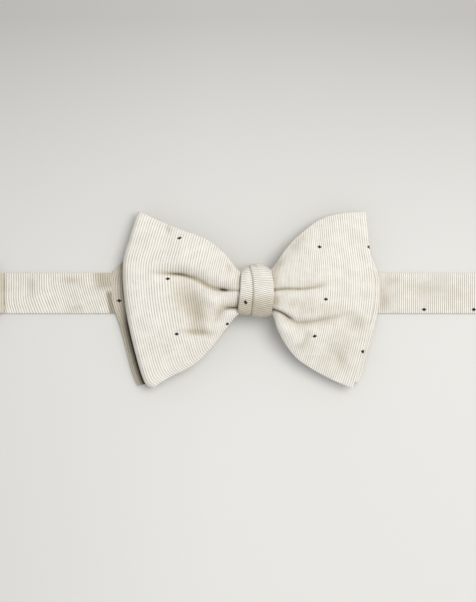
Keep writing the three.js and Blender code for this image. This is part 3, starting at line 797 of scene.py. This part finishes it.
def strap_over_adjuster():
    """The strap where it comes up through the adjuster, over the centre bar and down again."""
    high = box_mm("strap_over_adjuster")[1][2] - STRAP / 2
    half_slot = BAR / 2 + SLOT / 2
    side = [(ADJUSTER_HALF + 2.4, 2.35), (ADJUSTER_HALF, 2.85), (ADJUSTER_HALF - BAR, 3.25),
            (ADJUSTER_HALF - BAR - 1.4, 4.0), (half_slot + 0.5, ADJUSTER_Z),
            (half_slot + 0.1, ADJUSTER_Z + 1.2), (BAR / 2 + 0.8, high - 0.15), (0, high)]
    far = [(-x, z) for x, z in side[-2::-1]]
    far[-1] = (-ADJUSTER_HALF - 3.4, 2.75)
    path = [(ADJUSTER_X + x, z) for x, z in side + far]
    # The strap is painted in shade where it runs down off the adjuster's end towards the bow.
    return strap("strap_over_bar", path, 150, lambda x, y: 0.8 * smooth((x - ADJUSTER_X - 5) / 3))


def strap_loop():
    """The strap's other end, sewn round the centre bar, with its tail towards the hook."""
    r = PLATE / 2 + STRAP_GAP + STRAP / 2
    w = BAR / 2 + STRAP_GAP + STRAP / 2
    bend = 0.7
    turn = [(-w, -0.2), (-w, r - bend), (-w + bend, r), (w - bend, r), (w, r - bend), (w, -r + bend),
            (w - bend, -r), (0.2, -r), (-1.8, -r - 0.2)]
    tail = [(-3.6, 2.20), (-ADJUSTER_HALF + 1.0, 2.0), (-ADJUSTER_HALF - 1.4, 1.98)]
    path = [(ADJUSTER_X + x, ADJUSTER_Z + z) for x, z in turn] + [(ADJUSTER_X + x, z) for x, z in tail]
    return strap("strap_bar_loop", path, 150)


def strap_runs():
    """The two layers of strap between the adjuster and the hook."""
    pin = HOOK_PIN[0]
    foot = ADJUSTER_LOW[0]
    top = HOOK_PIN[2] + FOLD_R
    upper = [(RUN_START_X, top), (pin + 12, top - 0.5), (pin + 20, 1.68), (foot - 20, 1.65),
             (foot - 9, 1.75), (foot - 1.9, 1.95)]
    lower = [(RUN_START_X, STRAP / 2), (foot - 24, STRAP / 2), (foot - 9, 0.50), (RUN_END_X, 1.35)]
    run_up = strap("strap_run_above", upper, 150)
    run_low = strap("strap_run_below", lower, 150)
    return run_up, run_low


def end_fold(name, pin, side, lead_top, lead_low):
    """A fold of strap round a pin; side is +1 when the fold points along +X."""
    turn = [(side * FOLD_R * math.sin(a), FOLD_R * math.cos(a)) for a in np.linspace(0, math.pi, 9)]
    path = lead_top + [(pin[0] + x, pin[2] + z) for x, z in turn] + lead_low
    return strap(name, path, 170)


def hook_end_fold():
    x, _, z = HOOK_PIN
    reach = (FOLD_LENGTH, FOLD_LENGTH / 2)
    return end_fold("hook_strap_fold", HOOK_PIN, -1, [(x + d, z + FOLD_R) for d in reach],
                    [(x + d, z - FOLD_R) for d in reversed(reach)])


def eye_end_fold():
    x, _, z = EYE_PIN
    start = box_mm("eye_end_fold")[0][0] + 0.1
    lead_top = [(start - 1.2, TUBE + 0.35), (start + 3, TUBE + 0.55), (start + 6, z + FOLD_R - 0.45),
                (start + 9, z + FOLD_R - 0.08)]
    return end_fold("eye_strap_fold", EYE_PIN, 1, lead_top, [(x - 6, z - FOLD_R), (start + 2.4, z - FOLD_R)])


STITCH_RADIUS = 0.24


def thread_bar(name, node):
    """A bar tack: close stitches of silk thread laid side by side across the fold."""
    low, high = box_mm(node)
    stitches, rings, sides = 34, 9, 6
    rng = np.random.default_rng(5)
    pitch = (high[1] - low[1]) / stitches
    around = 2 * math.pi * np.arange(sides) / sides
    parts = []
    for k in range(stitches):
        lean = rng.uniform(-0.12, 0.12)
        reach = (high[0] - low[0]) / 2 * rng.uniform(0.9, 1.08)
        stitch = []
        for t in np.linspace(-1, 1, rings):
            radius = STITCH_RADIUS * math.sqrt(max(1 - t**6, 0.02))
            x = (low[0] + high[0]) / 2 + reach * t
            y = low[1] + (k + 0.5) * pitch + lean * t
            z = low[2] - 0.05 + 0.30 * (1 - t**4)
            stitch.append([(x, y + radius * math.cos(a), z + radius * math.sin(a)) for a in around])
        parts.append(loft(stitch))
    piece = mesh_piece(name, *joined(parts))
    return dressed(piece, thread())


# ---- knot

WRAP_HALF_Y = 12.0
FOLD_BEHIND_X = -1.2
LAP_HEIGHT = 0.85
FRONT_COLUMN = 40
# The wrap's left edge, right edge and lapped fold, seen from the front.
WRAP_LEFT = [(-8.2, -13), (-8.3, -10.5), (-7.7, -3), (-7.3, 1), (-7.1, 5.5), (-7.0, 9), (-6.9, 13)]
WRAP_RIGHT = [(7.7, -13), (8.0, -10), (8.8, -4.4), (8.7, 1), (8.7, 5.5), (8.2, 9), (7.6, 13)]
WRAP_FOLD = [(-1.8, -13), (-1.5, -10.7), (-1.0, -4), (-0.9, 1), (-1.3, 6.5), (-2.4, 10.8), (-3.0, 13)]


def wrap_profile(x0, xc, x1):
    """Points across the wrap for one place round it: x, and height over the wrap's face.
    The right panel laps over the left one at xc."""
    drop = 0.8 * TUBE
    left = np.linspace(0, 1, 22)
    left_x = x0 + (xc + 0.9 - x0) * left
    left_z = 0.35 * (np.sin(math.pi * left) - left**8) - drop * (1 - rounded(left_x - x0, 0.45))
    lip = spline([(0.75, -0.05), (0.15, 0.05), (-0.22, 0.32), (-0.18, 0.68), (0.18, LAP_HEIGHT)], 9)
    right = np.linspace(0, 1, 34)[1:]
    right_x = xc + 0.18 + (x1 - xc - 0.18) * right
    right_z = LAP_HEIGHT + 0.45 * np.sin(math.pi * right**0.8)
    right_z -= (drop + LAP_HEIGHT) * (1 - rounded(x1 - right_x, 0.6))
    under = np.linspace(0, 1, 26)
    under_x = x1 + (x0 - x1) * under
    under_z = -TUBE - 0.2 * np.sin(math.pi * under)
    x = np.concatenate([left_x, xc + lip[:, 0], right_x, under_x[1:-1]])
    return x, np.concatenate([left_z, lip[:, 1], right_z, under_z[1:-1]])


def wrap_relief(x, y, xc):
    """Soft unevenness of the wrapped cloth."""
    lift = 0.10 * np.sin(0.9 * y + 0.5 * x) + 0.25 * mound(x, y, 4.5, 3.0, 3.0, 6.0)
    return lift - 0.30 * mound(x, y, xc + 3.0, 10.5, 2.0, 1.6)


def knot_wrap():
    """The wrap round the waist: an oval ring, its ends lapped behind the bow."""
    turns = 250
    gap = 0.03
    angle = np.linspace(gap - math.pi, math.pi - gap, turns)
    squareness = 0.66
    ring_y = np.sign(np.sin(angle)) * np.abs(np.sin(angle)) ** squareness
    ring_z = np.sign(np.cos(angle)) * np.abs(np.cos(angle)) ** squareness
    z_mid = (WRAP_LOW[2] + KNOT_TOP) / 2
    half_z = (KNOT_TOP - WRAP_LOW[2]) / 2 - LAP_HEIGHT
    left, right, fold = (spline(points, 120) for points in (WRAP_LEFT, WRAP_RIGHT, WRAP_FOLD))
    rows = []
    for ry, rz in zip(ring_y, ring_z):
        y_nominal = WRAP_HALF_Y * ry
        x0, x1, xc = (np.interp(y_nominal, c[:, 1], c[:, 0]) for c in (left, right, fold))
        x, lift = wrap_profile(x0, xc if rz > 0 else FOLD_BEHIND_X, x1)
        arched_top = 12.3 - 3.2 * np.clip(np.abs(x - 0.2) / 7.6, 0, 1.1) ** 2
        straight_foot = 11.7 - 0.5 * np.clip(np.abs(x) / 8, 0, 1.1) ** 3
        reach = np.where(ry > 0, arched_top, straight_foot) - LAP_HEIGHT * 0.6
        slope_y = np.sign(ry) * abs(ry) ** (2 / squareness - 1) / reach
        slope_z = np.sign(rz) * abs(rz) ** (2 / squareness - 1) / half_z
        size = np.hypot(slope_y, slope_z)
        facing = max(rz, 0)
        lift = lift + np.where(lift > -0.7, facing * wrap_relief(x, reach * ry, xc), 0)
        ring = [x, reach * ry + lift * slope_y / size, z_mid + half_z * rz + lift * slope_z / size]
        rows.append(np.stack(ring, 1))
    points = np.stack(rows)
    run = arc_lengths(points)[0][:, FRONT_COLUMN]
    x, y = points[..., 0], points[..., 1]
    away = x - np.interp(y, fold[:, 1], fold[:, 0])
    chevron = smooth((7.5 - y) / 8)
    cloth = np.zeros_like(points)
    on_front = smooth(2.0 * ring_z)[:, None]
    slant = chevron * (0.25 * np.clip(away, 0, 8) + 0.28 * np.clip(-away, 0, 6))
    cloth[..., 0] = run[:, None] + on_front * (y - y[:, FRONT_COLUMN, None]) - slant
    cloth[..., 0] += np.where(away < 0, 0.4, 0.0)
    cloth[..., 1] = x
    # Painted shade on the knot: its lower third turned away from the light, a line along the lap, the top
    # edge, and a mark under the curled lip at the top.
    low_third_shade = smooth((1.0 - y) / 8.5)
    tan_shade = 0.90 * low_third_shade + 0.55 * np.exp(-((away / 0.45) ** 2)) + 0.06 * smooth((y - 9) / 2)
    tan_shade += 0.8 * crease(x, y, [(-1.5, 12.5), (-0.4, 12.1), (0.8, 11.2)], 0.4, 0.4, (0.1, 0.1))
    cloth[..., 2] = np.clip(tan_shade, 0, 1)
    piece = mesh_piece("knot_wrap", *loft(points), cloth.reshape(-1, 3))
    spot = cloth_at(points, cloth, [(-4.7, -5.3)], slice(70, 180))
    return dressed(piece, silk("ribbed_silk_knot", spot, 0.98, 1.7))


# ---- metal


def thread():
    """Cream silk sewing thread with a twist."""
    n = Nodes("silk_thread")
    place = n.add("ShaderNodeTexCoord").outputs["Object"]
    twist = n.noise(place, (2600.0, 9000.0, 4000.0), 2.0, 0.6)
    colour = n.mix(n.remap(twist, 0.3, 0.7), (0.62, 0.57, 0.47, 1), (0.84, 0.79, 0.69, 1))
    bump = n.add("ShaderNodeBump", {"Strength": 0.5, "Distance": 0.05 * MM, "Height": twist})
    n.surface(Base_Color=colour, Roughness=0.5, Normal=bump.outputs[0], Sheen_Weight=0.3)
    return n.material


def metal(name, colour, roughness):
    """Nickel-plated steel with fine brushing and slightly worn patches."""
    n = Nodes(name)
    place = n.add("ShaderNodeTexCoord").outputs["Object"]
    brushing = n.noise(place, (300.0, 9000.0, 2000.0), 3.0, 0.6)
    wear = n.noise(place, (260.0, 260.0, 260.0), 4.0, 0.65)
    dark = tuple(c * 0.82 for c in colour[:3]) + (1,)
    tone = n.mix(n.remap(wear, 0.35, 0.7), dark, colour)
    rough = n.math("ADD", n.remap(brushing, 0.3, 0.7, roughness - 0.05, roughness + 0.07),
                   n.remap(wear, 0.4, 0.8, 0.0, 0.08))
    bump = n.add("ShaderNodeBump", {"Strength": 0.25, "Distance": 0.02 * MM, "Height": brushing})
    n.surface(Base_Color=tone, Metallic=1.0, Roughness=rough, Normal=bump.outputs[0])
    return n.material


def plate_mesh(outlines, thick, bevel):
    """A flat plate with holes and rounded edges: the first outline is its rim."""
    curve = bpy.data.curves.new("plate_outline", "CURVE")
    curve.dimensions = "2D"
    curve.fill_mode = "BOTH"
    curve.extrude = thick / 2 - bevel
    curve.bevel_depth = bevel
    curve.bevel_resolution = 3
    curve.offset = -bevel
    for outline in outlines:
        line = curve.splines.new("POLY")
        line.points.add(len(outline) - 1)
        line.points.foreach_set("co", [c for x, y in outline for c in (x, y, 0, 1)])
        line.use_cyclic_u = True
    holder = bpy.data.objects.new("plate_outline", curve)
    bpy.context.scene.collection.objects.link(holder)
    flat = holder.evaluated_get(bpy.context.evaluated_depsgraph_get()).to_mesh()
    verts = np.array([v.co for v in flat.vertices])
    faces = [tuple(f.vertices) for f in flat.polygons]
    bpy.data.objects.remove(holder)
    bpy.data.curves.remove(curve)
    return verts, faces


def pin_mesh(length, radius, sides=28, rings=5):
    """A round pin along Y with dished ends, which are hidden in the arms that hold it."""
    stations = []
    for sine in np.sin(np.linspace(0, math.pi / 2, rings)):
        stations.append((-length / 2 + 0.4 * radius * (1 - sine), radius * (0.15 + 0.85 * sine)))
    stations += [(-y, r) for y, r in reversed(stations)]
    around = -2 * math.pi * np.arange(sides) / sides
    return loft([[(r * math.cos(a), y, r * math.sin(a)) for a in around] for y, r in stations])


PLATE_HALF_Y = (ADJUSTER_HIGH[1] - ADJUSTER_LOW[1]) / 2
SLOT_HALF_Y = PLATE_HALF_Y - 2.0
PLATE_CORNER = 1.6
EDGE_BEVEL = 0.32
YOKE_SLOT = PIN / 2 + 3.8
HOOK_CROSS_BAR = 3.2
TONGUE_REACH = 7.0
TONGUE_WIDTH = 8.0
TONGUE_THROAT = 1.3
RECEIVER = 6.0
RECEIVER_HALF_Y = 6.0


def rounded_outline(corners, steps=6):
    """A closed outline through (x, y, radius) corners, each rounded off."""
    points = []
    count = len(corners)
    for k, (x, y, radius) in enumerate(corners):
        corner = np.array([x, y])
        before = np.array(corners[k - 1][:2]) - corner
        after = np.array(corners[(k + 1) % count][:2]) - corner
        a = corner + before / np.linalg.norm(before) * radius
        b = corner + after / np.linalg.norm(after) * radius
        for t in np.linspace(0, 1, steps + 1):
            points.append(tuple((1 - t) ** 2 * a + 2 * t * (1 - t) * corner + t**2 * b))
    return points


def rectangle(x0, x1, half_y, radius):
    corners = [(x0, -half_y), (x1, -half_y), (x1, half_y), (x0, half_y)]
    return rounded_outline([(*corner, radius) for corner in corners])


def adjuster_frame(material):
    """The slider: a plate with two slots, either side of its centre bar."""
    slots = [rectangle(x0, x0 + SLOT, SLOT_HALF_Y, 0.6) for x0 in (BAR / 2, -BAR / 2 - SLOT)]
    rim = rectangle(-ADJUSTER_HALF, ADJUSTER_HALF, PLATE_HALF_Y, PLATE_CORNER)
    verts, faces = plate_mesh([rim, *slots], PLATE, EDGE_BEVEL)
    piece = mesh_piece("adjuster_slider", verts + (ADJUSTER_X, BAND_MIDDLE, ADJUSTER_Z), faces)
    return dressed(piece, material)


def yoke(length):
    """The outline of an end plate: two arms that hold the pin, and the plate they run into."""
    return rounded_outline([(-PIN / 2, -PLATE_HALF_Y, 0.6), (length, -PLATE_HALF_Y, PLATE_CORNER),
                            (length, PLATE_HALF_Y, PLATE_CORNER), (-PIN / 2, PLATE_HALF_Y, 0.6),
                            (-PIN / 2, SLOT_HALF_Y, 0.5), (YOKE_SLOT, SLOT_HALF_Y, 0.6),
                            (YOKE_SLOT, -SLOT_HALF_Y, 0.6), (-PIN / 2, -SLOT_HALF_Y, 0.5)])


def tongue(tip):
    """The hook's tongue: it runs on from the plate, bends back and ends over it."""
    rise = PLATE + TONGUE_THROAT
    bend = tip + TONGUE_REACH - rise / 2 - PLATE / 2
    turn = np.linspace(-math.pi / 2, math.pi / 2, 20)
    outline = [(tip - 1.0, -PLATE / 2)]
    outline += [(bend + (rise + PLATE) / 2 * math.cos(a), (rise + (rise + PLATE) * math.sin(a)) / 2)
                for a in turn]
    outline += [(tip - 0.5, rise + PLATE / 2), (tip - 0.5, rise - PLATE / 2)]
    outline += [(bend + (rise - PLATE) / 2 * math.cos(a), (rise + (rise - PLATE) * math.sin(a)) / 2)
                for a in turn[::-1]]
    outline += [(tip - 1.0, PLATE / 2)]
    verts, faces = plate_mesh([outline], TONGUE_WIDTH, 0.25)
    return verts[:, [0, 2, 1]], [face[::-1] for face in faces]


def end_metal(name, parts, length, pin, turn, material):
    """A metal end, lying from its pin along +X or -X and drooping until its end rests on the table."""
    bar = pin_mesh(2 * PLATE_HALF_Y - 2.0, PIN / 2)
    verts, faces = joined([*parts, bar])
    droop = math.asin((pin[2] - PLATE / 2 - 0.05) / length)
    x = verts[:, 0] * math.cos(droop) + verts[:, 2] * math.sin(droop)
    z = verts[:, 2] * math.cos(droop) - verts[:, 0] * math.sin(droop)
    placed = np.stack([turn * x, turn * verts[:, 1], z], axis=1) + pin
    piece = mesh_piece(name, placed, faces)
    return dressed(piece, material)


def hook(material):
    tip = YOKE_SLOT + HOOK_CROSS_BAR
    plate = plate_mesh([yoke(tip)], PLATE, EDGE_BEVEL)
    return end_metal("hook_plate", [plate, tongue(tip)], tip + TONGUE_REACH, HOOK_PIN, -1, material)


def eye(material):
    cross = YOKE_SLOT + BAR
    length = cross + RECEIVER + BAR
    receiver = rectangle(cross, cross + RECEIVER, RECEIVER_HALF_Y, 1.2)
    plate = plate_mesh([yoke(length), receiver], PLATE, EDGE_BEVEL)
    return end_metal("eye_plate", [plate], length, EYE_PIN, 1, material)


# ---- make everything


def place(piece, body, nodes, slot="silk_face"):
    if body:
        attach(piece, body)
    if nodes:
        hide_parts(*nodes)
    return piece


def three(name):
    return [f"{name}_{layer}" for layer in ("face", "interlining", "backing")]


band_l = place(left_band(), "tie", three("left_band"))
band_r = place(right_band(), "tie", three("right_band"))
rear_l = place(rear_tip(), "tie", three("rear_tip"))
rear_r = place(rear_loop(), "tie", three("rear_loop"))
front_l = place(front_loop(), "tie", three("front_loop"))
front_r = place(front_tip(), "tie", three("front_tip"))
wrap = place(knot_wrap(), "tie", three("knot_wrap"))

tab = place(strap_tab(), "tie", [])
over = place(strap_over_adjuster(), "adjuster", ["strap_over_adjuster"])
bar_loop = place(strap_loop(), "adjuster", ["strap_loop"])
hook_fold = place(hook_end_fold(), "strap_end", ["strap_end_fold"])
eye_fold = place(eye_end_fold(), "tie", ["eye_end_fold"])
run_up, run_low = strap_runs()
place(run_up, None, ["strap_upper_run"])
place(run_low, None, ["strap_lower_run"])
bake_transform(run_up)
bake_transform(run_low)

place(thread_bar("hook_tack", "hook_bar_tack"), "strap_end", ["hook_bar_tack"], "thread")
place(thread_bar("eye_tack", "eye_bar_tack"), "tie", ["eye_bar_tack"], "thread")

nickel = metal("nickel_plate", (0.80, 0.78, 0.74, 1), 0.24)
place(adjuster_frame(nickel), "adjuster", ["adjuster_frame"], "adjuster_metal")
place(hook(nickel), "hook", ["hook"], "hook_metal")
place(eye(nickel), "eye", ["eye"], "eye_metal")

# ---- stage, light and camera


FLOOR_HALF = 3.0
FLOOR_BELOW = 0.1 * MM
PAPER_NEAR = (0.735, 0.727, 0.700, 1)
PAPER_FAR_SHADED = (0.490, 0.482, 0.462, 1)
LEFT_SHADE = (0.915, 0.914, 0.922, 1)
FAR_RIGHT_SHADE = (0.945, 0.942, 0.940, 1)


def floor():
    """A pale paper just under the strap, with painted light falloff: darker towards its far end, its left
    and its far right.
    """
    corners = [(-1, -1), (1, -1), (1, 1), (-1, 1)]
    mesh = bpy.data.meshes.new("table")
    verts = [(x * FLOOR_HALF, y * FLOOR_HALF, -FLOOR_BELOW) for x, y in corners]
    mesh.from_pydata(verts, [], [(0, 1, 2, 3)])
    piece = bpy.data.objects.new("table", mesh)
    bpy.context.scene.collection.objects.link(piece)
    n = Nodes("pale_paper")
    split = n.add("ShaderNodeSeparateXYZ", {0: n.add("ShaderNodeTexCoord").outputs["Object"]})
    far = n.remap(split.outputs[1], -0.03, 0.13)
    far = n.math("MULTIPLY", far, far)
    left = n.remap(split.outputs[0], -0.02, -0.12)
    far_right = n.math("MULTIPLY", far, n.remap(split.outputs[0], 0.02, 0.11))
    tone = n.mix(far, PAPER_NEAR, PAPER_FAR_SHADED)
    for side, falloff_shade in ((left, LEFT_SHADE), (far_right, FAR_RIGHT_SHADE)):
        tone = n.mix(side, tone, n.mix(1.0, tone, falloff_shade, "MULTIPLY"))
    n.surface(Base_Color=tone, Roughness=0.9)
    mesh.materials.append(n.material)


WARM = (1.0, 0.985, 0.955)
COOL = (0.970, 0.985, 1.0, 1)
KEY_PLACE = (0.66, 0.38, 1.75)
KEY_SIZE = 1.30
KEY_POWER = 21.8
ROOM_STRENGTH = 0.635


def area_light(name, location, size, power):
    data = bpy.data.lights.new(name, "AREA")
    data.shape = "DISK"
    data.size = size
    data.energy = power
    data.color = WARM
    light = bpy.data.objects.new(name, data)
    light.location = location
    light.rotation_euler = (-Vector(location)).to_track_quat("-Z", "Y").to_euler()
    bpy.context.scene.collection.objects.link(light)


def world(strength):
    scene_world = bpy.data.worlds.new("soft_room")
    bpy.context.scene.world = scene_world
    scene_world.use_nodes = True
    background = scene_world.node_tree.nodes["Background"]
    background.inputs[0].default_value = COOL
    background.inputs[1].default_value = strength


LENS = 150.0
SENSOR = 36.0
VIEW_WIDTH = 0.2237
VIEW_PLANE_Z = 0.010
VIEW_CENTRE = (-0.0082, -0.0047)


def camera():
    """Straight down on the bow, from far enough away that it looks as flat as it lies."""
    data = bpy.data.cameras.new("camera")
    data.lens = LENS
    data.sensor_width = SENSOR
    data.sensor_fit = "HORIZONTAL"
    data.clip_end = 20
    cam = bpy.data.objects.new("camera", data)
    cam.location = (*VIEW_CENTRE, VIEW_PLANE_Z + VIEW_WIDTH * LENS / SENSOR)
    bpy.context.scene.collection.objects.link(cam)
    bpy.context.scene.camera = cam


floor()
world(ROOM_STRENGTH)
area_light("key_light", KEY_PLACE, KEY_SIZE, KEY_POWER)
camera()
bpy.context.scene.view_settings.view_transform = "Standard"
